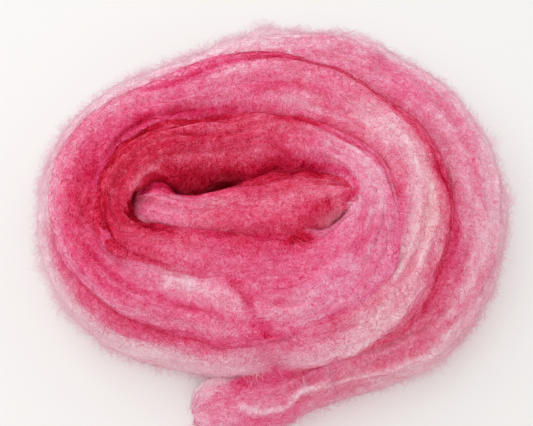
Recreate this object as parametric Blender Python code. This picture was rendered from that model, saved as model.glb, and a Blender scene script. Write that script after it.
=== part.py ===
"""Wool roving: one long strand of combed, dyed wool wound into an oval bun that lies on its flat side.

The strand is swept along its centre line, from the tip of its loose outer end to the tip of its innermost fold.
Positions are in millimetres on the surface that the bun lies on: X to the right, Y away, Z up.
"""

import math
from collections import namedtuple

import bmesh
import bpy
from mathutils import Vector

MILLIMETRE = 0.001

# The strand's section is a rounded oval that stands on its lower end, cut flat where it rests.
SECTION_SIDES = 16
SECTION_POWER = 3.0  # 2 is an ellipse, and more is squarer
SINK = 3.0  # how far the section would reach below the surface if it weren't flattened there
CUTS_PER_ROW = 3  # stations between one row of a table and the next
GAP = 0.3  # between the end faces of the loose end and of the bun that it comes out of
CLEARANCE = 0.6  # by which the bun is grown before it is cut from the loose end beside it
FLOOR_CUTTER_SIDE = 300.0
FLOOR_CUTTER_DEPTH = 20.0

Section = namedtuple("Section", "x y half_width crest")

# Each row is one section of the strand: where its middle stands, half its width and the height of its crest.
LOOSE_END = [
    Section(-32, -83, 3, 6),
    Section(-27, -82, 10, 11),
    Section(-8, -80, 11, 16),
]
OUTER_LAP = [
    Section(22, -68, 10, 20),
    Section(48, -58, 11, 21),
    Section(69, -42, 13, 23),
    Section(82, -13, 14, 25),
    Section(81, 23, 14, 26),
    Section(64, 52, 14, 26),
    Section(30, 72, 14, 26),
    Section(-14, 71, 12, 26),
    Section(-54, 55, 12, 25),
    Section(-81, 23, 12, 24),
    Section(-83, -19, 10, 24),
    Section(-61, -47, 9, 24),
    Section(-22, -58, 9, 24),
]
MIDDLE_LAP = [
    Section(11, -59, 10, 36),
    Section(39, -48, 12, 40),
    Section(56, -23, 14, 43),
    Section(58, 10, 13, 44),
    Section(43, 31, 14, 45),
    Section(5, 50, 17, 45),
    Section(-29, 45, 16, 44),
    Section(-61, 33, 14, 43),
    Section(-77, 9, 14, 41),
    Section(-74, -21, 13, 41),
    Section(-54, -39, 13, 41),
    Section(-24, -48, 13, 43),
]
INNER_LAP = [
    Section(6, -52, 12, 46),
    Section(31, -40, 13, 48),
    Section(42, -14, 11, 49),
    Section(37, 9, 11, 50),
    Section(15, 21, 12, 50),
    Section(-16, 21, 13, 50),
    Section(-48, 17, 12, 49),
    Section(-63, 0, 9, 47),
    Section(-59, -18, 9, 47),
    Section(-32, -28, 10, 47),
    Section(-3, -34, 15, 47),
    Section(22, -30, 16, 48),
]
CORE_FOLD = [
    Section(35, -15, 8, 47),
    Section(36, -5, 4, 45),
    Section(24, -2, 9, 48),
    Section(6, -6, 15, 50),
    Section(-14, -9, 13, 49),
    Section(-34, -9, 10, 47),
    Section(-53, -3, 9, 43),
    Section(-59, -2, 4, 37),
]


def spline(before, start, end, after, share):
    """The Catmull-Rom curve from start to end, at a share of the way between them."""
    return 0.5 * (
        2 * start
        + (end - before) * share
        + (2 * before - 5 * start + 4 * end - after) * share**2
        + (3 * start - 3 * end + after - before) * share**3
    )


def stations(rows):
    """The sections along a smooth line through the rows, each with its direction of travel."""
    values = [Vector(row) for row in rows]
    padded = [2 * values[0] - values[1], *values, 2 * values[-1] - values[-2]]
    line = []
    for first in range(len(rows) - 1):
        for step in range(CUTS_PER_ROW):
            line.append(spline(*padded[first : first + 4], step / CUTS_PER_ROW))
    line.append(values[-1])
    behind = [line[0], *line[:-1]]
    ahead = [*line[1:], line[-1]]
    travels = [(after - before).xy.normalized() for before, after in zip(behind, ahead)]
    return [(Section(*values), travel) for values, travel in zip(line, travels)]


def squared(value):
    """A sine or cosine pushed outwards by the section's power."""
    return math.copysign(abs(value) ** (2 / SECTION_POWER), value)


def ring(section, travel):
    """The corners of one section, across the direction of travel."""
    sideways = Vector((travel.y, -travel.x))
    half_height = (section.crest + SINK) / 2
    corners = []
    for side in range(SECTION_SIDES):
        angle = 2 * math.pi * (side + 0.5) / SECTION_SIDES
        out = sideways * section.half_width * squared(math.cos(angle))
        height = section.crest - half_height + half_height * squared(math.sin(angle))
        corners.append(Vector((section.x + out.x, section.y + out.y, height)) * MILLIMETRE)
    return corners


def strand(name, line, holder):
    """A closed strand through the stations of the line, as an object held by the empty."""
    mesh = bmesh.new()
    rings = [[mesh.verts.new(corner) for corner in ring(*station)] for station in line]
    for near, far in zip(rings, rings[1:]):
        for side in range(SECTION_SIDES):
            following = (side + 1) % SECTION_SIDES
            mesh.faces.new((near[side], near[following], far[following], far[side]))
    mesh.faces.new(rings[0][::-1])
    mesh.faces.new(rings[-1])
    bmesh.ops.recalc_face_normals(mesh, faces=mesh.faces)
    for face in mesh.faces:
        face.smooth = True
    data = bpy.data.meshes.new(name)
    mesh.to_mesh(data)
    mesh.free()
    made = bpy.data.objects.new(name, data)
    made.parent = holder
    bpy.context.scene.collection.objects.link(made)
    return made


def centred_holder(line):
    """An empty that brings the middle of the strand's outline to the origin."""
    corners = [corner for station in line for corner in ring(*station)]
    middle = [(min(values) + max(values)) / 2 for values in zip(*corners)]
    holder = bpy.data.objects.new("roving", None)
    holder.location = (-middle[0], -middle[1], 0)
    bpy.context.scene.collection.objects.link(holder)
    return holder


def floor_cutter():
    """A block under the surface, which flattens what rests on it."""
    mesh = bmesh.new()
    bmesh.ops.create_cube(mesh, size=1.0)
    side = FLOOR_CUTTER_SIDE * MILLIMETRE
    depth = FLOOR_CUTTER_DEPTH * MILLIMETRE
    bmesh.ops.scale(mesh, vec=(side, side, depth), verts=mesh.verts)
    bmesh.ops.translate(mesh, vec=(0, 0, -depth / 2), verts=mesh.verts)
    data = bpy.data.meshes.new("floor_cutter")
    mesh.to_mesh(data)
    mesh.free()
    cutter = bpy.data.objects.new("floor_cutter", data)
    cutter.hide_render = True
    cutter.display_type = "WIRE"
    bpy.context.scene.collection.objects.link(cutter)
    return cutter


def subtract(piece, cutter):
    """Cuts the cutter from the piece. Where the piece's own laps press into each other, it becomes one body."""
    cut = piece.modifiers.new("less_" + cutter.name, "BOOLEAN")
    cut.operation = "DIFFERENCE"
    cut.solver = "EXACT"
    cut.use_self = True
    cut.object = cutter


def dyed_wool(name, colour):
    """Matt wool of one mean colour, given as linear red, green and blue."""
    material = bpy.data.materials.new(name)
    material.use_nodes = True
    shader = material.node_tree.nodes["Principled BSDF"]
    shader.inputs["Base Color"].default_value = (*colour, 1.0)
    shader.inputs["Roughness"].default_value = 0.95
    shader.inputs["Metallic"].default_value = 0.0
    return material


def wound_roving(line, holder, floor):
    """The bun: three laps of the strand and the fold in their middle, pressed into one body."""
    bun = strand("wound_roving", line, holder)
    subtract(bun, floor)
    bun.data.materials.append(dyed_wool("rose dyed wool", (0.72, 0.09, 0.19)))


def clearance_cutter(line, holder):
    """The bun made a little larger, which keeps the loose end clear of it."""
    grown = []
    for section, travel in line:
        wider = section.half_width + CLEARANCE
        grown.append((section._replace(half_width=wider, crest=section.crest + CLEARANCE), travel))
    cutter = strand("clearance_cutter", grown, holder)
    cutter.hide_render = True
    cutter.display_type = "WIRE"
    return cutter


def loose_end(line, bun_line, holder, floor):
    """The strand's outer end, which lies beside the bun."""
    section, travel = line[-1]
    pulled_back = section._replace(x=section.x - travel.x * GAP, y=section.y - travel.y * GAP)
    tail = strand("loose_end", [*line[:-1], (pulled_back, travel)], holder)
    subtract(tail, clearance_cutter(bun_line, holder))
    subtract(tail, floor)
    tail.data.materials.append(dyed_wool("pale pink dyed wool", (0.80, 0.25, 0.38)))


def main():
    for old in list(bpy.data.objects):
        bpy.data.objects.remove(old)
    line = stations([*LOOSE_END, *OUTER_LAP, *MIDDLE_LAP, *INNER_LAP, *CORE_FOLD])
    start_of_bun = len(LOOSE_END) * CUTS_PER_ROW
    bun_line = line[start_of_bun:]
    holder = centred_holder(line)
    floor = floor_cutter()
    wound_roving(bun_line, holder, floor)
    loose_end(line[: start_of_bun + 1], bun_line, holder, floor)


main()
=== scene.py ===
"""Wool roving: a long strand of carded, unevenly dyed wool, wound into an oval bun with its outer end lying
loose.

The bun and the loose end are skins, a rounded oval section carried along the strand's line. Short curly
fibres lie all over them and longer ones stand out of them, each a thin closed spindle. The dye is worked
out once for each place on the strand, and skins and fibres share it.
"""

import math
from collections import namedtuple

import bpy
import numpy as np
from bpy.props import FloatProperty, FloatVectorProperty, IntProperty, PointerProperty
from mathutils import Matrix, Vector


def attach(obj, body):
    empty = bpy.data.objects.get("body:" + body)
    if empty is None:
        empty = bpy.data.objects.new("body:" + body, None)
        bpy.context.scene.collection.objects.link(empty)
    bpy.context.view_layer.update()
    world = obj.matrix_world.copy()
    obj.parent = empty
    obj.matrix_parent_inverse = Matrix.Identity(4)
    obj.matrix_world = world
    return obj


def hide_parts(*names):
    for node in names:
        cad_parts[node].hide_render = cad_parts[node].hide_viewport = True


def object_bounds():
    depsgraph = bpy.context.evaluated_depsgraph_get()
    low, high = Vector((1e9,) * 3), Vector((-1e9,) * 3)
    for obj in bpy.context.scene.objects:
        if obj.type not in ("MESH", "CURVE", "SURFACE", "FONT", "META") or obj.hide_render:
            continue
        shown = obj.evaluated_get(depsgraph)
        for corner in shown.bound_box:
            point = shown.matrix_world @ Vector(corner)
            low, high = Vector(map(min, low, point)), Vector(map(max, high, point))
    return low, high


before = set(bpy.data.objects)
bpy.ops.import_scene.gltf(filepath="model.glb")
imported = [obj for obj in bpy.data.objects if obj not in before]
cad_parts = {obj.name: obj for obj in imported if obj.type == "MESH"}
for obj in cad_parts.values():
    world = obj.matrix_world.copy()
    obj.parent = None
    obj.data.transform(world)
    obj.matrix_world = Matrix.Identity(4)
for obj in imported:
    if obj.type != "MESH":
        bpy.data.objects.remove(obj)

bl_info = {
    "name": "Wool Roving",
    "version": (1, 0, 0),
    "blender": (4, 5, 0),
    "location": "3D Viewport > Sidebar > Roving",
    "description": "Builds a wound bun of dyed wool roving with its fibres and a small studio round it",
    "category": "Object",
}

CAD_BOX = [list(corner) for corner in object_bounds()]

MILLIMETRE = 0.001

# The strand's section is a rounded oval that stands on its lower end, pressed flat where it rests.
SECTION_POWER = 3.0  # 2 is an ellipse, and more is squarer
SINK = 3.0  # how far the section would reach below the surface if it weren't pressed flat there
SETTLE = 7.0  # height under which the relief fades out, so that the underside stays flat
SLICE = 3.0  # the strand's stations for measuring gaps stand this far apart
FAR = 99.0  # millimetres to a neighbour that isn't there
# The seam's closeness, which fades over SEAM, also deepens the dye there as painted shade.
SEAM = 6.0  # how far from a neighbouring lap the wool still shows the seam
SEEP = 5.0  # how far from a neighbouring lap less light seeps through the wool
SEAM_FILL = 5.0  # how far the wool swells into a seam
TIP = 14.0  # the length over which the innermost fold rounds off
STUB = 0.02  # the part of that length at which the rounding ends
HEADING = 1 / 3  # the strand's direction is taken from this part of a row behind to as far ahead

# Each row is one section of the strand, in millimetres on the surface that the bun lies on, before its
# outline is centred: where its middle stands, half its width and the height of its crest.
LOOSE_END = [(-32, -83, 3, 6), (-27, -82, 10, 11), (-8, -80, 11, 16)]
OUTER_LAP = [
    (22, -68, 10, 20), (48, -58, 11, 21), (69, -42, 13, 23), (82, -13, 14, 25),
    (81, 23, 14, 26), (64, 52, 14, 26), (30, 72, 14, 26), (-14, 71, 12, 26),
    (-54, 55, 12, 25), (-81, 23, 12, 24), (-83, -19, 10, 24), (-61, -47, 9, 24),
    (-22, -58, 9, 24),
]
MIDDLE_LAP = [
    (11, -59, 10, 36), (39, -48, 12, 40), (56, -23, 14, 43), (58, 10, 13, 44),
    (43, 31, 14, 45), (5, 50, 17, 45), (-29, 45, 16, 44), (-61, 33, 14, 43),
    (-77, 9, 14, 41), (-74, -21, 13, 41), (-54, -39, 13, 41), (-24, -48, 13, 43),
]
INNER_LAP = [
    (6, -52, 12, 46), (31, -40, 13, 48), (42, -14, 11, 49), (37, 9, 11, 50),
    (15, 21, 12, 50), (-16, 21, 13, 50), (-48, 17, 12, 49), (-63, 0, 9, 47),
    (-59, -18, 9, 47), (-32, -28, 10, 47), (-3, -34, 15, 47), (22, -30, 16, 48),
]
CORE_FOLD = [
    (35, -15, 8, 47), (36, -5, 4, 45), (24, -2, 9, 48), (6, -6, 15, 50), (-14, -9, 13, 49),
    (-34, -9, 10, 47), (-53, -3, 9, 43), (-59, -2, 4, 37),
]
ROWS = np.array([*LOOSE_END, *OUTER_LAP, *MIDDLE_LAP, *INNER_LAP, *CORE_FOLD], float)
BUN_START = len(LOOSE_END)
MIDDLE_START = BUN_START + len(OUTER_LAP)
INNER_START = MIDDLE_START + len(MIDDLE_LAP)
CORE_START = INNER_START + len(INNER_LAP)
LAST_ROW = len(ROWS) - 1

# A place on the strand is a row of the tables, with its parts, and a side: -1 is the outer flank of the
# lap, 0 its crest, 1 its inner flank, and 2 or -2 its underside.
STEP = 1.35  # between one ring of the skin and the next
SIDES = 96  # corners of a ring

# Each line is a fold or a streak of dye through places on the strand. It is so many millimetres wide, adds to
# the depth of dye there and raises the skin by its height in millimetres, or sinks it. Many lines lie in
# folds, in hollows, along a seam and under a lap's edge, and the dye they add there is painted shade; pale
# lines along raised ridges are partly painted highlight; the rest are streaks of dye. In this table and the
# next two, sides, reaches, depths and warmths are in hundredths.
Line = namedtuple("Line", "width dye height places")
LINES = [Line(*row[:3], row[3:]) for row in [
    (2.2, 32, -0.8, (22.5, -33), (21.8, -33), (21.1, -40), (20.6, -50), (20.2, -48), (19.8, -38),
     (19.4, -36), (19.2, -45), (18.9, -46), (18.7, -60)),
    (2.4, 25, -0.8, (18.6, -58), (18.3, -62), (18, -70), (17.7, -76), (17.4, -74), (17.2, -85)),
    (3, 22, 0, (6.3, 42), (5.9, 34), (5.6, 28), (5.3, 26), (5, 27), (4.6, 30)),
    (3, 18, 0, (22, 40), (22.3, 35), (22.6, 33), (22.9, 30), (23.3, 26), (23.7, 20), (24.1, 16)),
    (1.6, 25, -0.6, (33.2, -32), (33.5, -36), (33.9, -28), (34.3, -28), (34.7, -30)),
    (1.8, 25, -0.6, (35.2, -36), (35.5, -30), (35.8, -38), (36.1, -48), (36.4, -50), (36.7, -55)),
    (1.6, 20, -1, (33.6, -12), (33.4, 3), (33.1, 2), (32.9, -14), (32.6, -19)),
    (1.6, -30, 1.5, (35.1, 46), (34.6, 43), (34.3, 43), (34.1, 50)),
    (4, 10, 0, (34.4, 58), (33.9, 76), (33.5, 82), (33.2, 87), (32.9, 82), (32.6, 72)),
    (3.2, 35, 0, (45.2, -50), (44.9, -44), (44.5, -38), (44.1, -50)),
    (1.6, 35, -0.6, (32, 60), (31.4, 58), (30.9, 55), (30.5, 50)),
    (3, 12, 0, (33.9, 50), (33.4, 62), (33, 58), (32.2, 55)),
    (3, 22, 0, (32.5, 19), (32.3, 45), (32.1, 57), (31.8, 60)),
    (1.5, 25, -0.8, (32.4, -33), (32, -29), (31.7, -22), (31.5, -19), (31.2, -24), (31, -42),
     (30.8, -44), (30.4, -41), (30.2, -39)),
    (2, 22, 0, (20.6, 24), (20.4, 27), (20.2, 29), (20.1, 40)),
    (2.5, 14, 0, (21.4, 22), (20.9, 10), (20.7, 5), (20.4, 12)),
    (2.2, -18, 0, (21.1, 36), (20.8, 32)),
    (2.5, 14, 0, (19.4, 29), (18.8, 33), (18.5, 40)),
    (2.5, 12, 0, (30.3, -42), (30, -48), (29.6, -49)),
    (2.6, -7, 0.9, (19.2, -16), (18.9, -16), (18.4, -26), (18.1, -26), (17.8, -28), (17.4, -40),
     (17.1, -48), (16.8, -58), (16.5, -72)),
    (1.6, -8, 0.9, (19.4, 0), (18.9, 5), (18.4, 5), (17.9, 0), (17.4, -10), (16.9, -30)),
    (5, -8, 0, (31.3, 49), (30.9, 35), (30.4, 25)),
    (3, 28, 0, (29.7, -2), (29.5, 12), (29.3, 25)),
    (1.8, 18, 0, (29.3, 8), (29.2, 10)),
    (1.8, 18, 0, (28.9, 11), (28.7, 13)),
    (2, 25, -0.6, (28, 8), (27.7, 13)),
    (2.2, 20, -0.6, (37.1, 29), (37.5, 44), (37.7, 47), (38.4, 43), (38.9, 37)),
    (2.5, 22, 0, (42.9, 26), (42.5, 32), (42.1, 36)),
    (2.5, 20, 0, (41.6, 22), (41.3, 15)),
    (1.8, 30, -1.2, (35.7, 36), (36, 38), (36.2, 38), (36.4, 32), (36.7, 27)),
    (4.5, -12, 0.8, (26.5, 21), (26.8, 15), (27, 11), (27.3, 7)),
    (2, 22, -1, (25.2, -14), (25.5, -8), (25.8, -14), (26, -19), (26.2, -11)),
    (2.2, 28, -1, (26.4, -12), (26.6, -21), (27, -27), (27.2, -30)),
    (2.2, 15, -0.6, (25, -80), (25.3, -77), (25.6, -75), (26, -77), (26.4, -80), (26.9, -80),
     (27.3, -69), (27.5, -62), (27.8, -60)),
    (3, 12, 0, (13.2, -12), (13.6, -8), (14, -12), (14.3, -20), (14.5, -24), (14.9, -15), (15.3, -5)),
    (2.6, 32, -1.6, (27.3, 30), (27.4, 21), (27.5, 9), (27.6, -18), (27.7, -44), (27.7, -56)),
    (2, 20, -0.6, (27.9, -57), (28.2, -61), (28.6, -60)),
    (4, -4, 1, (15.6, -30), (15.9, -55), (16.2, -70), (16.5, -70), (16.9, -52), (17.2, -40)),
    (3, 14, 0, (6.5, 30), (6, 22), (5.6, 10), (5.2, 3), (4.9, -5), (4.4, -18)),
    (2, -15, 0.8, (6.4, -9), (6.1, -14), (5.6, -12)),
    (2, -15, 0.6, (4.9, -49), (4.7, -50)),
    (4, 22, 0, (2.2, 40), (2.4, 22), (2.7, 5)),
    (1.5, -25, 1.5, (1.8, -18), (2.1, -33), (2.4, -42), (2.6, -27), (3.1, -47), (3.4, -54), (4, -55),
     (4.5, -60)),
    (2.5, 15, 0, (2.3, -75), (2.9, -80), (3.4, -82)),
    (4, -8, 0, (46.1, 29), (45.7, 23), (45.4, 26), (45.1, 29)),
    (2.5, -10, 0, (45.8, -9), (45.5, -24)),
    (8, -10, 6, (40.6, 75), (41.6, 75), (42.2, 80)),
    (3, 25, 0, (44.6, 62), (43.6, 66), (42.6, 62)),
    (5, 0, 2.5, (43.1, -80), (42.4, -80)),
    (5, 0, 2, (32.9, 75), (32.3, 72), (31.8, 70)),
    (5, 0, 2.5, (34.7, 65), (34.3, 70)),
    (7, 0, -5.5, (10, -62), (10.3, -62), (10.65, -62)),
    (5, 0, -1.6, (9.4, -55), (9.2, -55)),
    (8, 6, 3, (10.6, 35), (11.5, 35), (12.5, 35), (13.5, 35), (14.5, 35)),
    (6, 22, 0, (12.9, -42), (13.5, -42), (14, -42), (14.5, -45), (14.9, -42)),
    (5, 25, -2.5, (22.7, 30), (22.4, 36), (22.1, 45), (21.8, 55)),
    (4, 38, -2, (33, -46), (33.4, -48), (33.8, -52), (34.1, -54)),
    (4, 20, -2, (22.9, 38), (23.5, 46), (24.2, 50), (24.8, 50)),
    (3.5, 18, -1.5, (34.2, -52), (34.8, -52), (35.4, -50), (35.9, -50)),
    (6, 0, 3.5, (34, 70), (33.6, 72), (33.2, 74), (32.9, 74)),
    (5, 12, 0, (21.4, 23), (21.1, 25), (20.8, 20), (20.4, 12)),
    (5, 22, 0, (17, -66), (17.35, -60), (17.7, -52)),
    (3, 12, 0, (15.5, -77), (15.8, -77)),
    (6, -12, 4, (45.2, 75), (45.6, 72), (45.9, 65)),
    (3.5, 30, -2, (35.5, 60), (35.9, 62), (36.3, 60), (36.6, 55)),
    (4, 10, -3, (32.95, 62), (32.7, 68), (32.5, 66)),
    (3.5, 45, -1.5, (45.3, -44), (45.7, -34), (46.1, -20)),
    (2.5, 25, 0, (41.2, 25), (41.5, 37)),
    (2.5, -20, 1.5, (42.2, 60), (41.9, 56), (41.7, 52)),
    (3.5, 22, 0, (19, -30), (18.8, -42)),
    (3, 16, 0, (27, 22), (27.3, 20), (27.6, 20), (27.9, 17)),
    (2.5, 20, 0, (38.4, 40), (38.8, 42)),
    (4, 18, 0, (3.7, -45), (4, -44), (4.3, -44)),
    (4, 14, 0, (15.8, -38), (16.2, -27), (16.5, -22)),
    (4, 35, 0, (34, 94), (33.5, 98), (33.1, 98), (32.7, 88)),
    (4, 30, -1, (45.3, -68), (44.9, -70), (44.5, -70), (44, -75)),
    (2.5, 35, 0, (15.3, -108), (15.8, -104), (16.3, -100), (16.8, -98)),
    (3, 15, -1, (42.2, -50), (42.6, -50), (42.9, -55)),
    (2.5, 22, 0, (1.8, -42), (2.2, -58), (2.6, -52)),
    (4.5, 0, 3.5, (9.75, -75), (9.85, -75)),
    (5, 14, 0, (8, 0), (8.3, 5), (8.6, 0)),
    (3, -12, 0, (31.9, 52), (31.5, 50)),
    (2.5, 50, -1.5, (46, -12), (45.7, -18), (45.4, -20)),
    (3, 30, -1.5, (35.9, 46), (36.1, 40), (36.25, 30), (36.4, 24)),
    (2.5, 45, -1, (46.3, 60), (45.9, 70), (45.4, 80), (45, 85)),
    (3, 16, 0, (27.4, -40), (27.54, -45), (27.64, -62)),
    (5, 14, 0, (5, -140), (7, -130), (9, -145), (11, -135), (13, -140), (15, -145)),
    (4, 15, -0.8, (35.3, -20), (35.6, -15), (35.9, -10)),
    (5, 12, 0, (24.3, 8), (24.7, 8)),
    (3, 18, -1.2, (15.45, -15), (15.55, -35), (15.6, -55), (15.7, -80), (15.8, -95)),
]]

# The roving was dyed in stretches. Depth of dye runs from 0, bare pale wool, to 1, full crimson, and above 1
# into the painted shade of a crease; warmth runs from 0, mauve, to 1, salmon. Each stretch is a row, the
# depths on its outer flank, its crest and its inner flank, the depth of painted shade that a seam adds, and
# the warmth. Flank depths beside a crease also hold painted shade, and the bare outer flank of the outer lap
# is partly bare wool and partly painted light coming through its thin edge.
STRETCHES = [
    (0, 28, 22, 12, 10, 0), (1.5, 40, 42, 20, 15, 15), (2.3, 40, 45, 55, 12, 20),
    (3.2, 30, 46, 45, 12, 45), (4, 22, 50, 55, 12, 55), (5, 32, 47, 62, 22, 42),
    (6, 24, 42, 62, 25, 24), (7.5, 10, 47, 50, 15, 8), (9, 0, 48, 58, 20, 8),
    (10, 0, 32, 44, 15, 15), (11, -3, 31, 44, 0, 12), (12.2, 0, 42, 58, 5, 10),
    (13.5, 6, 63, 75, 15, 40), (14.5, 6, 67, 75, 15, 45), (15, 15, 60, 65, 20, 30),
    (16, 34, 45, 55, 20, 30), (17, 42, 33, 48, 20, 60), (18, 80, 30, 44, 25, 55),
    (18.8, 90, 36, 45, 25, 45), (20, 85, 40, 38, 25, 45), (21, 78, 57, 50, 15, 28),
    (22, 58, 63, 72, 5, 12), (23.3, 40, 74, 90, 5, 28), (24.5, 40, 92, 97, 5, 35),
    (25.3, 58, 80, 65, 10, 20), (26.3, 62, 58, 32, 15, 20), (27.2, 75, 42, 48, 15, 35),
    (28.5, 50, 45, 58, 10, 5), (29.5, 48, 53, 60, 5, 5), (30.5, 52, 40, 50, 10, 8),
    (31.3, 50, 46, 60, 15, 15), (32.3, 75, 78, 90, 15, 55), (33.3, 90, 92, 90, 10, 70),
    (34.5, 105, 102, 102, 5, 85), (36, 92, 102, 112, 5, 80), (36.8, 58, 80, 92, 5, 45),
    (38.5, 60, 67, 80, 5, 15), (39.5, 60, 53, 52, 5, 8), (40.5, 55, 44, 32, 5, 0),
    (41.5, 98, 86, 50, 5, 55), (42.5, 110, 84, 65, 5, 62), (43.8, 110, 80, 80, 5, 60),
    (44.7, 98, 66, 62, 5, 45), (45.5, 95, 60, 58, 5, 15), (47, 100, 75, 55, 5, 10),
]
LINE_RUN = 28.0  # millimetres from row to row and side to side, as lines are measured
FLANK = 0.75  # the side, either way, at which a stretch has its flank's depth

# Each patch of dye reaches some rows along the strand and spreads some sides across it, fading outwards. The
# deep patch on the loose end at row 2, in the crevice under the bun, and the one in the hollow at the inner
# slot's right end, at row 40.65, are painted shade.
Patch = namedtuple("Patch", "row side reach spread depth warmth")
PATCHES = [
    (2, 40, 40, 25, 85, 5), (3, -45, 50, 20, 50, 65), (7, -130, 90, 22, 34, 10),
    (8.8, -145, 70, 20, 26, 20), (10.4, -125, 80, 18, 30, 10), (12.2, -145, 90, 22, 36, 30),
    (13.8, -130, 60, 16, 30, 20), (17, -86, 40, 15, 62, 60), (18.3, -22, 45, 16, 24, 90),
    (18.3, 25, 50, 12, 52, 5), (21.6, -10, 30, 20, 45, 20), (24.5, 10, 35, 20, 97, 60),
    (24, 30, 40, 15, 100, 20), (26.8, 22, 32, 12, 24, 15), (27, 17, 30, 12, 34, 20),
    (31.4, 14, 30, 15, 48, 10), (31, -15, 40, 15, 46, 10), (32.2, -40, 30, 15, 95, 60),
    (37.6, 32, 20, 12, 93, 75), (38.6, 38, 25, 15, 100, 90), (40.65, 40, 15, 12, 80, 75),
    (1.3, 70, 40, 20, 12, 60), (45.8, 16, 30, 15, 75, 30),
]

# A field is smooth and random over the skin: its strength, the length of its cells in millimetres along the
# strand, how many go round it, its seed, and by how many sides it turns in each millimetre along.
Field = namedtuple("Field", "strength cell cells_round seed twist", defaults=(0.0,))
LUMPS = [Field(1.0, 23, 6, 1), Field(0.5, 11, 11, 2)]
CORDS = [Field(1.0, 46, 17, 3, 1 / 400), Field(0.5, 21, 31, 4)]
DYE_CLOUDS = [Field(0.05, 13, 14, 5), Field(0.04, 4, 40, 6)]
DYE_STREAKS = [Field(0.10, 60, 19, 9, 1 / 500), Field(0.07, 34, 37, 10)]
WARMTH_CLOUDS = [Field(0.10, 17, 10, 7), Field(0.06, 5, 30, 8)]
LINE_STRAY_ALONG, LINE_STRAY_ROUND = Field(0.06, 14, 9, 11), Field(0.06, 17, 8, 12)
LINE_STRENGTH = Field(0.4, 9, 16, 13)
LATTICE = 1024  # cells along before a field repeats

# Past full dye the ramps run on into the painted shade of a crease.
RAMP = 0.8  # where full dye stands on the colour ramps


def linear(code):
    """The linear red, green and blue of an sRGB hex colour."""
    channels = [(code >> shift & 255) / 255 for shift in (16, 8, 0)]
    return tuple(c / 12.92 if c <= 0.04045 else ((c + 0.055) / 1.055) ** 2.4 for c in channels)


# ------------ the strand


def along_rows(place):
    """The table's values at places between its rows, on the Catmull-Rom curve through four rows at a time."""
    padded = np.vstack([2 * ROWS[0] - ROWS[1], ROWS, 2 * ROWS[-1] - ROWS[-2]])
    first = np.clip(np.floor(place).astype(int), 0, LAST_ROW - 1)
    share = (place - first)[..., None]
    before, start, end, after = (padded[first + step] for step in range(4))
    return 0.5 * (
        2 * start
        + (end - before) * share
        + (2 * before - 5 * start + 4 * end - after) * share**2
        + (3 * start - 3 * end + after - before) * share**3
    )


def travel_at(place):
    """The strand's direction: from a little behind each place to a little ahead of it, made one long."""
    ahead = along_rows(np.minimum(place + HEADING, LAST_ROW))[..., :2]
    behind = along_rows(np.maximum(place - HEADING, 0))[..., :2]
    way = ahead - behind
    return way / np.linalg.norm(way, axis=-1, keepdims=True)


def oval(side):
    """The section one wide and one high each way: the point of |across| ** power + |up| ** power = 1 on the
    ray at that side's angle."""
    angle = (side + 1) * math.pi / 2
    across, up = np.cos(angle), np.sin(angle)
    reach = (abs(across) ** SECTION_POWER + abs(up) ** SECTION_POWER) ** (-1 / SECTION_POWER)
    return across * reach, up * reach


def even_places(first, last, step):
    """Places from first to last, about one step apart along the strand, and how far along each one is."""
    fine = np.linspace(0, LAST_ROW, 40 * LAST_ROW + 1)
    middles = along_rows(fine)[:, :2]
    run = np.concatenate([[0], np.cumsum(np.linalg.norm(np.diff(middles, axis=0), axis=1))])
    start, end = np.interp([first, last], fine, run)
    along = np.linspace(start, end, max(2, round((end - start) / step) + 1))
    return np.interp(along, run, fine), along


def round_tip(along):
    """The part of its size that the section keeps: all of it, but less over the last stretch of the strand,
    by the quarter of a circle."""
    _, run = even_places(0, LAST_ROW, STEP)
    left = np.clip((run[-1] - along) / TIP, STUB, 1)
    return np.sqrt(1 - (1 - left) ** 2)


def centring():
    """How far the tables' outline lies from the origin: the middle of the frame's box less the middle of
    the tables' own. The CAD outline is the same one, with its middle on the origin."""
    place, _ = even_places(0, LAST_ROW, STEP)
    values, travel = along_rows(place), travel_at(place)
    across = travel[:, ::-1] * (1, -1) * values[:, 2:3]
    rim = np.concatenate([values[:, :2] + across, values[:, :2] - across])
    low, high = (Vector(corner) for corner in CAD_BOX)
    middle = np.array((low + high).xy) / 2 / MILLIMETRE
    return middle - (rim.min(0) + rim.max(0)) / 2


def wander(field, along, side):
    """The field's values, as high as its strength either way: a lattice of random numbers, one cell long
    along the strand and closed round it, blended between its four nearest by an S curve each way."""
    lattice = np.random.default_rng(field.seed).uniform(-1, 1, (LATTICE, field.cells_round))
    x, y = along / field.cell, (side + field.twist * along + 1) / 4 * field.cells_round
    column, line = np.floor(x).astype(int), np.floor(y).astype(int)
    share_x, share_y = (s * s * (3 - 2 * s) for s in (x - column, y - line))
    columns = column % LATTICE, (column + 1) % LATTICE
    near, far = (lattice[at, line % field.cells_round] for at in columns)
    near_up, far_up = (lattice[at, (line + 1) % field.cells_round] for at in columns)
    low = near + (far - near) * share_x
    high = near_up + (far_up - near_up) * share_x
    return field.strength * (low + (high - low) * share_y)


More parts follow.
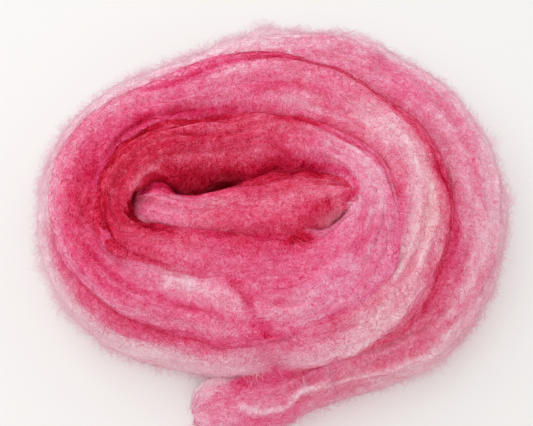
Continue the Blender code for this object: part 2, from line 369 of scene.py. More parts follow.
def gap(points, own):
    """How far each point lies from the nearest other stretch of the strand, in millimetres, less than
    nothing inside it.

    Round each station of the strand, a slice of it is an oval. On the ray from the oval's middle to a
    point, the oval's rim lies at the point's distance divided by its measure (|across| ** power + |up| **
    power) ** (1 / power)."""
    stations, _ = even_places(0, LAST_ROW, SLICE)
    middles, travels = along_rows(stations), travel_at(stations)
    nearest = np.full(points.shape[:2], FAR)
    for at, (x, y, half_width, crest), (way_x, way_y) in zip(stations, middles, travels):
        off_x, off_y = points[..., 0] - x, points[..., 1] - y
        half_height = (crest + SINK) / 2
        across, up = off_x * way_y - off_y * way_x, points[..., 2] - crest + half_height
        flat, high = abs(across) / half_width, abs(up) / half_height
        measure = (flat**SECTION_POWER + high**SECTION_POWER) ** (1 / SECTION_POWER)
        distance = np.hypot(across, up) * (1 - 1 / np.maximum(measure, 0.05))
        beside = (abs(off_x * way_x + off_y * way_y) < SLICE) & (abs(own - at) > 1)
        nearest = np.where(beside, np.minimum(nearest, distance), nearest)
    return nearest


def along_lines(place, along, side):
    """The depth of dye and the height that the lines add at each place: all of it on the line, and off it
    less by a bell as wide as the line. In folds the added dye is painted shade, and on raised ridges the
    paler dye is partly painted highlight. The lines stray a little, and their strength wanders too."""
    place = place + wander(LINE_STRAY_ALONG, along, side)
    side = side + wander(LINE_STRAY_ROUND, along, side)
    strength = 1 + wander(LINE_STRENGTH, along, side)
    dye, height = 0 * place * side, 0 * place * side
    for line in LINES:
        nearest = FAR + 0 * dye
        places = [(row, at / 100) for row, at in line.places]
        for (row, at), (to_row, to_side) in zip(places, places[1:]):
            way_x, way_y = (to_row - row) * LINE_RUN, (to_side - at) * LINE_RUN
            x, y = (place - row) * LINE_RUN, (side - at) * LINE_RUN
            share = np.clip((x * way_x + y * way_y) / (way_x**2 + way_y**2), 0, 1)
            nearest = np.minimum(nearest, np.hypot(x - way_x * share, y - way_y * share))
        bell = np.exp(-((nearest / line.width) ** 2)) * strength
        dye, height = dye + line.dye / 100 * bell, height + line.height * bell
    return dye, height


def relief(place, along, side):
    """How far the skin stands out of its smooth form, in millimetres: soft lumps, fine cords drawn out
    along the strand, whose crests are sharp, and the lines."""
    settings = bpy.context.scene.roving
    lumps = sum(wander(field, along, side) for field in LUMPS)
    cords = 0.5 - sum(abs(wander(field, along, side)) for field in CORDS)
    raised = (settings.lumps * lumps + settings.cords * cords) / MILLIMETRE
    _, height = along_lines(place, along, side)
    return raised + height


def dye(place, along, side, seam):
    """Depth and warmth of the dye: the stretches' values along the strand, the patches laid over them one
    after the other, each with a bell's fading, the lines, the painted shade that a seam adds, and the random
    clouds and streaks."""
    rows, *shares = np.array(STRETCHES).T
    outer, crest, inner, seam_shades, warm = (share / 100 for share in shares)
    near_crest = np.interp(place, rows, crest)
    near_flank = np.where(side < 0, np.interp(place, rows, outer), np.interp(place, rows, inner))
    share = np.clip(abs(side) / FLANK, 0, 1)
    depth = near_crest + (near_flank - near_crest) * share * share * (3 - 2 * share)
    warmth = np.interp(place, rows, warm) + 0 * side
    for row, *parts in PATCHES:
        patch = Patch(row, *(part / 100 for part in parts))
        across = (side - patch.side + 2) % 4 - 2
        share = np.exp(-(((place - patch.row) / patch.reach) ** 2) - (across / patch.spread) ** 2)
        depth = depth + (patch.depth - depth) * share
        warmth = warmth + (patch.warmth - warmth) * share
    drawn, _ = along_lines(place, along, side)
    # The seam adds painted shade: the dye deepens near a neighbouring lap.
    depth = depth + drawn + np.interp(place, rows, seam_shades) * seam
    depth = depth + sum(wander(field, along, side) for field in (*DYE_CLOUDS, *DYE_STREAKS))
    return depth, warmth + sum(wander(field, along, side) for field in WARMTH_CLOUDS)


class Skin:
    """The strand's skin from one place to another, as a grid of rings along by corners round.

    A corner is the section's oval, as wide and high as the tables say there, plus the relief along the
    oval's outward direction, and never under the surface that the bun lies on."""

    def __init__(self, first, last):
        self.place, self.along = even_places(first, last, STEP)
        self.side = (np.arange(SIDES) * 4 / SIDES + 1) % 4 - 2
        place, along, side = self.place[:, None], self.along[:, None], self.side[None, :]
        middle_x, middle_y, half_width, crest = np.moveaxis(along_rows(place), -1, 0)
        travel = travel_at(place)
        half_height = (crest + SINK) / 2
        across, up = oval(side)
        rounding = round_tip(along)
        lean = np.sign(across) * abs(across) ** (SECTION_POWER - 1) / half_width
        rise = np.sign(up) * abs(up) ** (SECTION_POWER - 1) / half_height
        steep = np.hypot(lean, rise)
        height = crest - half_height + half_height * up * rounding

        def raised_by(raised):
            out = (half_width * across + raised * lean / steep) * rounding
            up_to = np.maximum(height + raised * rise / steep * rounding, 0)
            return np.stack([middle_x + out * travel[..., 1], middle_y - out * travel[..., 0], up_to], -1)

        self.gap = gap(raised_by(0 * height), place)
        seam = np.exp(-np.maximum(self.gap, 0) / SEAM)
        off_floor = np.clip(height / SETTLE, 0, 1)
        self.points = raised_by(relief(place, along, side) * off_floor) + (*centring(), 0)
        self.points[..., 2] += SEAM_FILL * seam * off_floor
        self.seam = np.exp(-np.maximum(self.gap, 0) / SEEP)
        # Near a neighbouring lap the dye takes painted shade, by the seam's closeness squared.
        self.depth, self.warmth = dye(place, along, side, seam**2)
        # From the steps along and round come the length of each and the directions out of the skin, one long.
        forward = np.gradient(self.points, axis=0)
        before, after = (np.roll(self.points, turn, axis=1) for turn in (1, -1))
        self.forward = np.linalg.norm(forward, axis=-1)
        self.around = np.linalg.norm(after - self.points, axis=-1)
        out = np.cross(forward, after - before)
        self.normals = out / np.maximum(np.linalg.norm(out, axis=-1, keepdims=True), 1e-9)

    def at(self, values, ring, corner):
        """The grid's values at parts of a ring and of a corner, blended from the four round each."""
        ring = np.clip(ring, 0, len(self.along) - 1.001)
        low, left = np.floor(ring).astype(int), np.floor(corner).astype(int)
        up, over = ring - low, corner - left
        left, right = left % SIDES, (left + 1) % SIDES
        if values.ndim == 3:
            up, over = up[..., None], over[..., None]
        near = values[low, left] * (1 - over) + values[low, right] * over
        far = values[low + 1, left] * (1 - over) + values[low + 1, right] * over
        return near * (1 - up) + far * up


LIE_ROUND = 25  # millimetres from side to side on the map that the drawn hairs follow


def with_tips(values, first, last):
    """A grid's values in one line, corner after corner and ring after ring, between those of its two tips."""
    return np.concatenate([[first], values.reshape(-1, values.shape[-1]), [last]])


def tube_faces(rings, corners):
    """A closed tube's fan of triangles at its start, the quads of its walls and the fan at its end. Its
    points are the tip of the start, the corners ring after ring, and the tip of the end."""
    corner = np.arange(corners)
    following = (corner + 1) % corners
    ring = 1 + corners * np.arange(rings)[:, None]
    near, far = ring[:-1], ring[1:]
    walls = np.stack([near + corner, far + corner, far + following, near + following], -1)
    start = np.stack([0 * corner, 1 + corner, 1 + following], -1)
    end = np.stack([0 * corner + ring[-1] + corners, ring[-1] + following, ring[-1] + corner], -1)
    return start, walls.reshape(-1, 4), end


def skin_mesh(name, skin):
    """The skin as a closed mesh, with a fan over each end and the dye kept at its corners."""
    points = with_tips(skin.points, skin.points[0].mean(0), skin.points[-1].mean(0))
    start, walls, end = tube_faces(len(skin.along), SIDES)
    piece = piece_of(name, points, walls, np.concatenate([start, end]))
    piece.data.polygons.foreach_set("use_smooth", np.arange(len(piece.data.polygons)) < len(walls))
    for label, values in (("dye_depth", skin.depth), ("dye_warmth", skin.warmth), ("seam", skin.seam)):
        held = with_tips(values[..., None], values[:1].mean(1), values[-1:].mean(1))
        layer = piece.data.attributes.new(label, "FLOAT", "POINT")
        layer.data.foreach_set("value", held.astype(np.float32).ravel())
    lie = (skin.along[:, None], LIE_ROUND * skin.side, 0 * skin.side)
    lie = np.stack([np.broadcast_to(values, skin.depth.shape) for values in lie], -1)
    layer = piece.data.attributes.new("lie", "FLOAT_VECTOR", "POINT")
    layer.data.foreach_set("vector", with_tips(lie, lie[0, 0], lie[-1, 0]).astype(np.float32).ravel())
    return piece


def piece_of(name, points, *groups):
    """An object with its place in its mesh, from points in millimetres and groups of faces, each group with
    as many corners a face."""
    mesh = bpy.data.meshes.new(name)
    mesh.vertices.add(len(points))
    mesh.vertices.foreach_set("co", (points * MILLIMETRE).astype(np.float32).ravel())
    corners = np.concatenate([faces.ravel() for faces in groups])
    counts = np.concatenate([np.full(len(faces), faces.shape[1]) for faces in groups])
    mesh.loops.add(len(corners))
    mesh.loops.foreach_set("vertex_index", corners.astype(np.int32))
    mesh.polygons.add(len(counts))
    mesh.polygons.foreach_set("loop_start", (np.cumsum(counts) - counts).astype(np.int32))
    mesh.polygons.foreach_set("loop_total", counts.astype(np.int32))
    mesh.polygons.foreach_set("use_smooth", np.ones(len(counts), bool))
    mesh.update(calc_edges=True)
    piece = bpy.data.objects.new(name, mesh)
    bpy.context.scene.collection.objects.link(piece)
    return piece


def wear(piece, material):
    """The piece rides with the roving and wears the material."""
    piece.data.materials.append(material)
    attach(piece, "root")


# ------------ materials

TUFT = 4.0  # millimetres across a tuft of fibres
MOST_MOTTLE = 0.14  # the most depth of dye that tufts and the gaps between hairs add
# Wool fibres are about 0.03 mm thick, which is too fine to show, so the hairs drawn on the skin are 0.3 mm.
# Each set has its turn from the strand's line in radians, and its waves' run and gauge in millimetres.
HAIR_SETS = ((0.3, 3.0, 0.8), (1.3, 2.4, 0.75), (-0.9, 2.7, 0.85))


def add_node(tree, kind, inputs=(), **settings):
    """Adds one node with its settings, and its inputs as numbers, colours or other nodes' outputs."""
    node = tree.nodes.new(kind)
    for name, value in settings.items():
        setattr(node, name, value)
    for name, value in dict(inputs).items():
        if isinstance(value, bpy.types.NodeSocket):
            tree.links.new(value, node.inputs[name])
        else:
            node.inputs[name].default_value = value
    return node


def bare_material(name):
    """A material and its empty tree of nodes."""
    material = bpy.data.materials.new(name)
    material.use_nodes = True
    material.node_tree.nodes.clear()
    return material, material.node_tree


def dye_colour(tree, depth, warmth):
    """The dyed wool's colour: two ramps over the depth of dye, a mauve and a salmon one, mixed by warmth. A
    ramp's last stop is painted shade, the dark of wool at the bottom of a crease, a quarter past full dye."""
    colours = bpy.context.scene.roving_dye
    ramps = []
    for family in ("mauve", "salmon"):
        hues = [f"{family}_{stop}" for stop in range(6)]
        ramp = add_node(tree, "ShaderNodeValToRGB", {"Fac": depth})
        stops = ramp.color_ramp.elements
        while len(stops) < len(hues):
            stops.new(0.5)
        for place, (stop, hue) in enumerate(zip(stops, hues)):
            stop.position = place / (len(hues) - 1)
            stop.color = (*getattr(colours, hue), 1)
        ramps.append(ramp.outputs["Color"])
    mixing = {"Factor": warmth, 6: ramps[0], 7: ramps[1]}  # by number, as its colours share their names
    return add_node(tree, "ShaderNodeMix", mixing, data_type="RGBA", clamp_factor=True).outputs[2]


def drawn_hairs(tree):
    """Fine crimped hairs that follow the strand: 1 on a hair and 0 off it. A hair runs where a stretched
    noise crosses its middle value."""
    lie = add_node(tree, "ShaderNodeAttribute", attribute_name="lie").outputs["Vector"]
    hairs = 0.0
    for turn, run, gauge in HAIR_SETS:
        scale = {"Vector": lie, "Rotation": (0, 0, turn), "Scale": (run, gauge, 1)}
        way = add_node(tree, "ShaderNodeMapping", scale, vector_type="TEXTURE").outputs[0]
        noise = {"Vector": way, "Scale": 1.0, "Detail": 1.0, "Roughness": 0.5, "Distortion": 0.9}
        waves = add_node(tree, "ShaderNodeTexNoise", noise).outputs["Fac"]
        off = add_node(tree, "ShaderNodeMath", {0: waves, 1: 0.5}, operation="SUBTRACT").outputs[0]
        away = add_node(tree, "ShaderNodeMath", {0: off}, operation="ABSOLUTE").outputs[0]
        fading = {"Value": away, "From Min": 0.0, "From Max": 0.15, "To Min": 1.0, "To Max": 0.0}
        line = add_node(tree, "ShaderNodeMapRange", fading).outputs[0]
        hairs = add_node(tree, "ShaderNodeMath", {0: hairs, 1: line}, operation="MAXIMUM").outputs[0]
    return hairs


def carded_wool():
    """Carded wool, dyed and unspun. Its skin is a mat of fine crimped fibres, so it is dull, lets light
    through a little, and is mottled as finely as its tufts and hairs."""
    material, tree = bare_material("carded dyed wool")
    depth, warmth, seam = (
        add_node(tree, "ShaderNodeAttribute", attribute_name=name).outputs["Fac"]
        for name in ("dye_depth", "dye_warmth", "seam")
    )
    place = add_node(tree, "ShaderNodeTexCoord").outputs["Object"]
    noise = {"Vector": place, "Scale": 1 / (TUFT * MILLIMETRE), "Detail": 3.0, "Roughness": 0.72}
    tufts = add_node(tree, "ShaderNodeTexNoise", noise).outputs["Fac"]
    hairs = drawn_hairs(tree)

    # Hairs are paler than the wool between them, and deep dye shows more of it all than pale dye does. The
    # most that it adds is held down, so that no speck turns as dark as the painted crease shade at the ramps'
    # end.
    spread = {"Value": tufts, "From Min": 0.2, "From Max": 0.8, "To Min": -0.14, "To Max": 0.14}
    tuft_dye = add_node(tree, "ShaderNodeMapRange", spread, clamp=False).outputs[0]
    spread = {"Value": hairs, "To Min": 0.18, "To Max": -0.25}
    hair_dye = add_node(tree, "ShaderNodeMapRange", spread, clamp=False).outputs[0]
    spread = {"Value": depth, "To Min": 0.8, "To Max": 1.7}
    stronger = add_node(tree, "ShaderNodeMapRange", spread).outputs[0]
    on_ramp = tuft_dye
    mottling = ("ADD", hair_dye), ("MULTIPLY", stronger), ("MINIMUM", MOST_MOTTLE)
    for operation, value in (*mottling, ("ADD", depth), ("MULTIPLY", RAMP)):
        on_ramp = add_node(tree, "ShaderNodeMath", {0: on_ramp, 1: value}, operation=operation).outputs[0]
    colour = dye_colour(tree, on_ramp, warmth)
    bump = add_node(tree, "ShaderNodeBump", {"Height": hairs, "Strength": 0.5, "Distance": 0.0004})

    # Light that seeps in near a seam would come out inside the next lap, so none is let in there.
    fading = {"Value": seam, "From Min": 0.2, "From Max": 0.6, "To Min": 0.6, "To Max": 0.0}
    seeping = add_node(tree, "ShaderNodeMapRange", fading).outputs[0]
    look = {
        "Base Color": colour,
        "Roughness": 1.0,
        "Specular IOR Level": 0.05,
        "Subsurface Weight": seeping,
        "Subsurface Radius": (1.0, 0.35, 0.4),
        "Subsurface Scale": 0.0025,
        "Normal": bump.outputs["Normal"],
    }
    shader = add_node(tree, "ShaderNodeBsdfPrincipled", look)
    add_node(tree, "ShaderNodeOutputMaterial", {"Surface": shader.outputs[0]})
    return material


def wool_fibre():
    """Single wool fibres. Their scales scatter light, so each is matt. It takes its dye from the skin that
    it grows out of, kept as a place on the palette map."""
    material, tree = bare_material("dyed wool fibre")
    palette = add_node(tree, "ShaderNodeUVMap", uv_map=PALETTE)
    parts = add_node(tree, "ShaderNodeSeparateXYZ", {"Vector": palette.outputs["UV"]})
    colour = dye_colour(tree, parts.outputs["X"], parts.outputs["Y"])
    look = {"Base Color": colour, "Roughness": 1.0, "Specular IOR Level": 0.05}
    shader = add_node(tree, "ShaderNodeBsdfPrincipled", look)
    add_node(tree, "ShaderNodeOutputMaterial", {"Surface": shader.outputs[0]})
    return material


def pale_paper():
    """Matt pale paper, evenly lit, which shows only the bun's soft shadow."""
    material, tree = bare_material("pale paper")
    look = {"Base Color": (*bpy.context.scene.roving_stage.floor, 1), "Roughness": 0.9}
    shader = add_node(tree, "ShaderNodeBsdfPrincipled", look)
    add_node(tree, "ShaderNodeOutputMaterial", {"Surface": shader.outputs[0]})
    return material


def ready(name, maker):
    """The material of that name, made the first time."""
    return bpy.data.materials.get(name) or maker()


# ------------ fibres

PALETTE = "OFBake"  # the fibres' map: depth of dye to the right, warmth upwards
PALETTE_STEP = 0.004  # between a fibre's corners on the map, so that its faces have some width there
SPINE = 5  # points along a fibre, of which the two ends are its tips
FRINGE_SPINE = 4  # the same for the short fibres of the fringe
CORNERS = 3  # corners of its section

# A kind of fibre: how many, how long in millimetres, how far their headings spread and how much they curl
# and crimp, in radians, how far their tips lift, by which power, how thick they are, how much paler than
# the skin, whether they grow along the outer rim only, and in how many locks, or 0 for none.
Kind = namedtuple("Kind", "count length spread curl crimp lift tip thickness pale rim locks")
RIM_SIDE, RIM_SPREAD = -0.75, 0.5
LENGTHS_VARY, LIFTS_VARY = 0.35, 0.25  # as powers of e
DEPTHS_VARY, WARMTHS_VARY = 0.11, 0.12
CRIMP_WAVES = 0.8, 2.2  # the fewest and the most along a fibre
ROOT_HEIGHT = 0.10  # millimetres over the skin
FLUTTER = 0.25  # millimetres up or down for each radian of crimp
LOCK_ROOTS, LOCK_HEADINGS, LOCK_BENDS = 1.1, 0.35, 0.5  # how far a lock's fibres differ from each other

# Each mesh of fibres lies on the strand from one row to another. It has so many lying, curly, flying and
# fringe fibres, and the fringe's tips reach so many millimetres.
Growth = namedtuple("Growth", "name first last lying curly flying fringe reach")
GROWTHS = [
    Growth("fibres_loose_end", 0, BUN_START, 810, 500, 500, 900, 1.8),
    Growth("fibres_outer_lap", BUN_START, MIDDLE_START, 3690, 2300, 1400, 0, 0),
    Growth("fringe_right", BUN_START, 9.6, 0, 0, 0, 10000, 1.8),
    Growth("fringe_left", 9.6, MIDDLE_START, 0, 0, 0, 11500, 2.1),
    Growth("fibres_middle_lap", MIDDLE_START, INNER_START, 4230, 2900, 1400, 0, 0),
    Growth("fibres_inner_lap", INNER_START, CORE_START, 3960, 2600, 1100, 0, 0),
    Growth("fibres_core_fold", CORE_START, LAST_ROW, 1890, 1300, 500, 0, 0),
]
IN_LOCKS = 0.25  # the part of the fringe that grows in locks
LOCK_SHARE = 1 / 90  # locks for each fibre of the fringe
PRESSED = -0.8  # no fibre grows where the gap to a neighbouring lap is less than this, in millimetres
BARE_HEIGHT = 1  # or lower than this over the surface


def roots(skin, weight, kind, rng):
    """Random places on the skin's grid, as many to each bit of area as its area times its weight. A kind of
    the rim has a bell's weight across the outer flank's upper edge too."""
    count = kind.locks or kind.count
    if kind.rim:
        weight = weight * np.exp(-(((skin.side - RIM_SIDE) / RIM_SPREAD) ** 2))[None, :]
    chance = np.cumsum((skin.forward * skin.around * weight).ravel())
    found = np.searchsorted(chance, rng.uniform(0, chance[-1], count))
    found = np.minimum(found, weight.size - 1)
    ring, corner = np.divmod(found, SIDES)
    return ring + rng.uniform(-0.5, 0.5, count), corner + rng.uniform(0, 1, count)


def fibre_lines(skin, weight, kind, spine_points, rng):
    """The spines of a kind of fibre, and the depth, warmth and thickness of each.

    A fibre starts at a root and runs over the skin: its heading turns by its curl and swings with its
    crimp, and its steps along and round the strand add up from it. Its height over the skin grows from the
    root to the tip, by the power of its tip: at 1 it rises straight, and above it the fibre hugs the skin
    and then stands up. The tips' lifts are three times their mean times a random share squared, so most are
    low and none is very high."""
    ring, corner = roots(skin, weight, kind, rng)
    share = np.linspace(0, 1, spine_points)[None, :]
    column = (kind.count, 1)
    length = kind.length * rng.lognormal(0, LENGTHS_VARY, column)
    made = (kind.locks or kind.count, 1)
    heading = rng.normal(0, kind.spread, made) + math.pi * rng.integers(0, 2, made)
    bend = rng.normal(0, kind.curl, made)
    lift = 3 * kind.lift * rng.uniform(0, 1, made) ** 2
    if kind.locks:
        lock = rng.integers(0, kind.locks, kind.count)
        ring = ring[lock] + rng.normal(0, LOCK_ROOTS, kind.count)
        corner = corner[lock] + rng.normal(0, LOCK_ROOTS, kind.count)
        heading = heading[lock] + rng.normal(0, LOCK_HEADINGS, column)
        bend = bend[lock] + rng.normal(0, LOCK_BENDS, column)
        lift = lift[lock] * rng.lognormal(0, LIFTS_VARY, column)
    waves = share * rng.uniform(*CRIMP_WAVES, column) + rng.uniform(0, 1, column)
    angle = heading + bend * (share - 0.5) + kind.crimp * np.sin(2 * math.pi * waves)
    step = length / (spine_points - 1)
    along = np.cumsum(np.cos(angle) * step, axis=1)
    around = np.cumsum(np.sin(angle) * step, axis=1)
    at_ring = ring[:, None] + (along - along[:, :1]) / STEP
    at_corner = corner[:, None] + (around - around[:, :1]) / skin.at(skin.around, ring, corner)[:, None]
    flutter = FLUTTER * kind.crimp * rng.uniform(-1, 1, (kind.count, spine_points))
    height = (ROOT_HEIGHT + lift * share**kind.tip + flutter)[..., None]
    spine = skin.at(skin.points, at_ring, at_corner) + skin.at(skin.normals, at_ring, at_corner) * height
    spine[..., 2] = np.maximum(spine[..., 2], kind.thickness)
    at_root = at_ring[:, :1], at_corner[:, :1]
    depth = skin.at(skin.depth, *at_root) + rng.normal(-kind.pale, DEPTHS_VARY, column)
    warmth = skin.at(skin.warmth, *at_root) + rng.normal(0, WARMTHS_VARY, column)
    return spine, depth, warmth, np.full(column, kind.thickness)


def fibres(name, skin, weight, kinds, spine_points, seed):
    """Many fibres as one mesh. Each is a spindle: a tip, rings of three corners on its spine and the other
    tip. A ring's corners stand round the spine's direction, and its radius is half the thickness times the
    root of a half wave's sine."""
    rng = np.random.default_rng(seed)
    made = [fibre_lines(skin, weight, kind, spine_points, rng) for kind in kinds]
    spine, depth, warmth, thick = (np.concatenate(parts) for parts in zip(*made))
    count = len(spine)

    way = np.gradient(spine, axis=1)
    way /= np.maximum(np.linalg.norm(way, axis=-1, keepdims=True), 1e-9)
    aside = np.cross(way, (0, 0, 1)) + (1e-6, 0, 0)
    aside /= np.linalg.norm(aside, axis=-1, keepdims=True)
    over = np.cross(aside, way)[:, 1:-1, None]
    aside = aside[:, 1:-1, None]
    share = np.linspace(0, 1, spine_points)[1:-1]
    radius = thick / 2 * np.sqrt(np.sin(math.pi * share))
    turns = (2 * math.pi * np.arange(CORNERS) / CORNERS + math.pi / 2)[:, None]
    rings = spine[:, 1:-1, None] + (np.cos(turns) * aside + np.sin(turns) * over) * radius[..., None, None]
    points = np.concatenate([spine[:, :1], rings.reshape(count, -1, 3), spine[:, -1:]], axis=1)

    across = np.concatenate([[0], np.tile(np.arange(CORNERS) - 1, spine_points - 2), [0]])
    onward = np.concatenate([[0], np.repeat(np.arange(1, spine_points - 1), CORNERS), [spine_points - 1]])
    palette_x = np.clip(depth * RAMP, 0.01, 0.97) + onward * PALETTE_STEP
    palette_y = np.clip(warmth, 0.02, 0.98) + across * PALETTE_STEP
    palette = np.stack([palette_x, palette_y], -1)

    start, walls, end = tube_faces(spine_points - 2, CORNERS)
    one = np.concatenate([start, walls[:, [0, 2, 3]], walls[:, [0, 1, 2]], end])
    faces = (one[None] + (points.shape[1] * np.arange(count))[:, None, None]).reshape(-1, 3)
    piece = piece_of(name, points.reshape(-1, 3), faces)
    layer = piece.data.uv_layers.new(name=PALETTE, do_init=False)
    layer.uv.foreach_set("vector", palette.reshape(-1, 2)[faces.ravel()].astype(np.float32).ravel())
    return piece


# ------------ settings


def length(name, description, millimetres):
    metres = millimetres * MILLIMETRE
    return FloatProperty(name=name, description=description, default=metres, min=0, subtype="DISTANCE")


def colour(name, description, code):
    return FloatVectorProperty(
        name=name, description=description, default=linear(code), subtype="COLOR", min=0, max=1
    )


class RovingSettings(bpy.types.PropertyGroup):
    """The wool's form and its fibres."""

    lumps: length("Lumps", "Height of the soft lumps along the strand", 2.1)
    cords: length("Cords", "Height of the fine cords drawn out along the strand", 2.3)
    fibre: length("Fibre", "Mean length of the fibres that lie on the skin", 5.5)
    thickness: length("Fibre thickness", "Thickness of a fibre, coarse enough to show", 0.22)
    flyaway: length("Flyaway", "Mean length of the fibres that stand out of the skin", 9)
    density: FloatProperty(
        name="Density", description="Part of the fibres made", default=1, min=0.01, max=1, subtype="FACTOR"
    )
    seed: IntProperty(name="Seed", description="Another number lays every fibre anew", default=11, min=0)


class DyeSettings(bpy.types.PropertyGroup):
    """The dyed wool's colours, from bare to full dye, and past full dye the painted shade of a crease."""

    mauve_0: colour("Mauve, bare", "Hardly dyed wool, cool", 0xF8D8E4)
    mauve_1: colour("Mauve, light", "Lightly dyed wool, cool", 0xEE96B6)
    mauve_2: colour("Mauve, middle", "Half dyed wool, cool", 0xEA5E90)
    mauve_3: colour("Mauve, deep", "Deeply dyed wool, cool", 0xDC346A)
    mauve_4: colour("Mauve, full", "Fully dyed wool, cool", 0xCC0E42)
    # This creased stop is painted shade: full dye darkened as the bottom of a crease looks.
    mauve_5: colour("Mauve, crease shade", "Painted shade of a crease in deeply dyed wool, cool", 0x7E0A2C)
    salmon_0: colour("Salmon, bare", "Hardly dyed wool, warm", 0xF4D0D2)
    salmon_1: colour("Salmon, light", "Lightly dyed wool, warm", 0xE896A4)
    salmon_2: colour("Salmon, middle", "Half dyed wool, warm", 0xE26078)
    salmon_3: colour("Salmon, deep", "Deeply dyed wool, warm", 0xD4304C)
    salmon_4: colour("Salmon, full", "Fully dyed wool, warm", 0xC40C26)
    # This creased stop is painted shade: full dye darkened as the bottom of a crease looks.
    salmon_5: colour("Salmon, crease shade", "Painted shade of a crease in deeply dyed wool, warm", 0x760818)


class StageSettings(bpy.types.PropertyGroup):
    """The studio."""

    floor: colour("Floor", "The pale floor", 0xEDECEA)
    sky: FloatProperty(name="Sky", description="Brightness of the light from all round", default=0.97, min=0)
    window: FloatProperty(
        name="Window", description="Power of the light at the upper left", default=1.9, min=0, unit="POWER"
    )
    lens: FloatProperty(
        name="Lens", description="Focal length of the camera", default=113.5, min=1, unit="CAMERA"
    )


# The stage, in metres.
FLOOR_SIDE = 3.0
WINDOW_PLACE, WINDOW_SIDE = (-0.5, 0.35, 0.6), 1.0
CAMERA_AIM, CAMERA_AWAY = (-0.0030, 0.0021, 0.020), 0.700
CAMERA_HEIGHT = math.radians(66)  # how far the camera looks down


# ------------ operators


class ROVING_OT_bun(bpy.types.Operator):
    """Makes the bun's skin in place of its CAD solid"""

    bl_idname = "roving.bun"
    bl_label = "Bun"

    def execute(self, context):
        piece = skin_mesh("bun_skin", Skin(BUN_START, LAST_ROW))
        wear(piece, ready("carded dyed wool", carded_wool))
        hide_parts("wound_roving")
        return {"FINISHED"}


class ROVING_OT_loose_end(bpy.types.Operator):
    """Makes the skin of the strand's outer end in place of its CAD solid"""

    bl_idname = "roving.loose_end"
    bl_label = "Loose end"

    def execute(self, context):
        piece = skin_mesh("loose_end_skin", Skin(0, BUN_START))
        wear(piece, ready("carded dyed wool", carded_wool))
        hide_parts("loose_end")
        return {"FINISHED"}


class ROVING_OT_fibres(bpy.types.Operator):
    """Lays the fibres over the laps and the loose end, a mesh to each, and two for the fringe"""

    bl_idname = "roving.fibres"
    bl_label = "Fibres"

    def execute(self, context):
        settings = context.scene.roving
        thick, share = settings.thickness / MILLIMETRE, settings.density
        lying_length, flying_length = settings.fibre / MILLIMETRE, settings.flyaway / MILLIMETRE
        skin = Skin(0, LAST_ROW)
        showing = (skin.gap > PRESSED) & (skin.points[..., 2] > BARE_HEIGHT)
        for index, growth in enumerate(GROWTHS):
            here = (skin.place >= growth.first) & (skin.place < growth.last)
            weight = (showing & here[:, None]).astype(float)
            counts = growth.lying, growth.curly, growth.flying
            lying, curly, flying = (round(count * share) for count in counts)
            loose, locked = (round(growth.fringe * share * part) for part in (1 - IN_LOCKS, IN_LOCKS))
            reach, locks = growth.reach, max(1, round(growth.fringe * LOCK_SHARE))
            kinds = [
                Kind(lying, lying_length, 0.9, 2.6, 0.7, 0.25, 1.5, thick, 0.12, False, 0),
                Kind(curly, 6.5, 1.4, 5.0, 1.2, 0.5, 1.3, 0.75 * thick, 0.24, False, 0),
                Kind(flying, flying_length, 1.0, 3.0, 0.6, 1.3, 1.4, 0.5 * thick, 0.12, False, 0),
                Kind(loose, 5.5, 1.0, 3.0, 0.8, reach, 1.2, 0.42 * thick, 0.10, True, 0),
                Kind(locked, 6.0, 1.0, 2.0, 0.5, 1.1 * reach, 1.2, 0.42 * thick, 0.10, True, locks),
            ]
            kinds = [kind for kind in kinds if kind.count]
            spine_points = SPINE if lying else FRINGE_SPINE
            piece = fibres(growth.name, skin, weight, kinds, spine_points, settings.seed + index)
            wear(piece, ready("dyed wool fibre", wool_fibre))
            # They are drawn much thicker than wool, so their shadows would be too strong.
            piece.visible_shadow = False
            piece.visible_diffuse = False
        return {"FINISHED"}


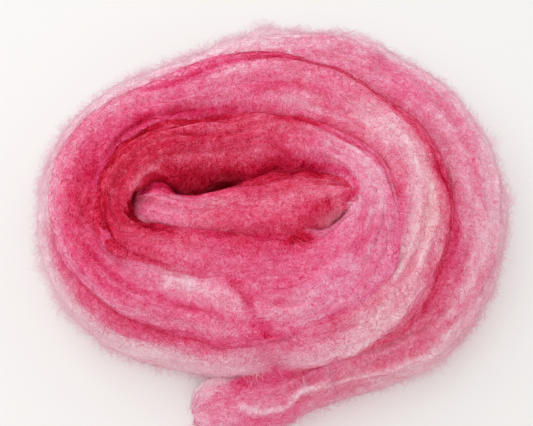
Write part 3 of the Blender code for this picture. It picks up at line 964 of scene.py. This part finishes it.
class ROVING_OT_stage(bpy.types.Operator):
    """Puts up the pale floor, the soft light and the camera"""

    bl_idname = "roving.stage"
    bl_label = "Studio"

    def execute(self, context):
        scene, settings = context.scene, context.scene.roving_stage
        half = FLOOR_SIDE / 2 / MILLIMETRE
        corners = np.array([(-half, -half, 0), (half, -half, 0), (half, half, 0), (-half, half, 0)])
        floor = piece_of("floor", corners, np.array([[0, 1, 2, 3]]))
        floor.data.materials.append(pale_paper())

        world = bpy.data.worlds.new("studio")
        world.use_nodes = True
        sky = world.node_tree.nodes["Background"]
        sky.inputs["Color"].default_value = (1, 1, 1, 1)
        sky.inputs["Strength"].default_value = settings.sky
        scene.world = world

        light = bpy.data.lights.new("window", "AREA")
        light.energy = settings.window
        light.size = WINDOW_SIDE
        window = bpy.data.objects.new("window", light)
        window.location = WINDOW_PLACE
        window.rotation_euler = (-window.location).to_track_quat("-Z", "Y").to_euler()
        scene.collection.objects.link(window)

        lens = bpy.data.cameras.new("camera")
        lens.lens = settings.lens
        camera = bpy.data.objects.new("camera", lens)
        back = Vector((0, -math.cos(CAMERA_HEIGHT), math.sin(CAMERA_HEIGHT)))
        camera.location = Vector(CAMERA_AIM) + CAMERA_AWAY * back
        camera.rotation_euler = (math.pi / 2 - CAMERA_HEIGHT, 0, 0)
        scene.collection.objects.link(camera)
        scene.camera = camera
        scene.view_settings.view_transform = "Standard"
        return {"FINISHED"}


class ROVING_PT_panel(bpy.types.Panel):
    """Lists the roving's pieces"""

    bl_idname = "ROVING_PT_panel"
    bl_label = "Wool roving"
    bl_space_type = "VIEW_3D"
    bl_region_type = "UI"
    bl_category = "Roving"

    def draw(self, context):
        for operator in OPERATORS:
            self.layout.operator(operator.bl_idname)
        for group in (context.scene.roving, context.scene.roving_dye, context.scene.roving_stage):
            box = self.layout.box()
            for name in group.__annotations__:
                box.prop(group, name)


OPERATORS = (ROVING_OT_stage, ROVING_OT_bun, ROVING_OT_loose_end, ROVING_OT_fibres)
GROUPS = {"roving": RovingSettings, "roving_dye": DyeSettings, "roving_stage": StageSettings}


def register():
    for kind in (*GROUPS.values(), *OPERATORS, ROVING_PT_panel):
        bpy.utils.register_class(kind)
    for name, group in GROUPS.items():
        setattr(bpy.types.Scene, name, PointerProperty(type=group))


def unregister():
    for name in GROUPS:
        delattr(bpy.types.Scene, name)
    for kind in (ROVING_PT_panel, *OPERATORS[::-1], *GROUPS.values()):
        bpy.utils.unregister_class(kind)


def main():
    register()
    bpy.ops.roving.stage()
    bpy.ops.roving.bun()
    bpy.ops.roving.loose_end()
    bpy.ops.roving.fibres()


if __name__ == "__main__":
    main()
